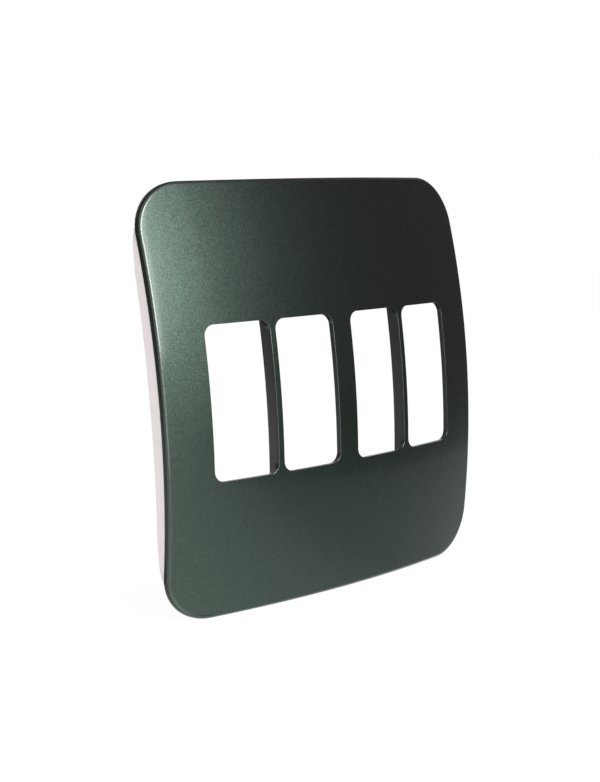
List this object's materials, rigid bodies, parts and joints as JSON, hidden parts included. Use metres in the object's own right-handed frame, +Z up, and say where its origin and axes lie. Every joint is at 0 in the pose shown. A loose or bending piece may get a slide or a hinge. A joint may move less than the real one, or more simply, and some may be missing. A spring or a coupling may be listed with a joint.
{
  "type": "grid switch plate",
  "caption": "Square domed cover plate with rounded corners, a rolled rim and upright rectangular openings for switch modules, on a shallow pale frame that snaps onto a wall yoke.",
  "frame": {"origin": "middle of the wall plane behind the plate, where the yoke is", "axes": "+Z up, -Y out of the wall towards the room, +X to the right as seen from the front"},
  "size_m": [0.12, 0.0153, 0.12],
  "materials": {
    "face_paint": "satin metallic paint, dark greenish charcoal",
    "frame_plastic": "plain moulded, pale warm grey"
  },
  "bodies": {
    "root": {"face_plate": "face_paint", "back_frame": "frame_plastic"}
  },
  "joints": []
}
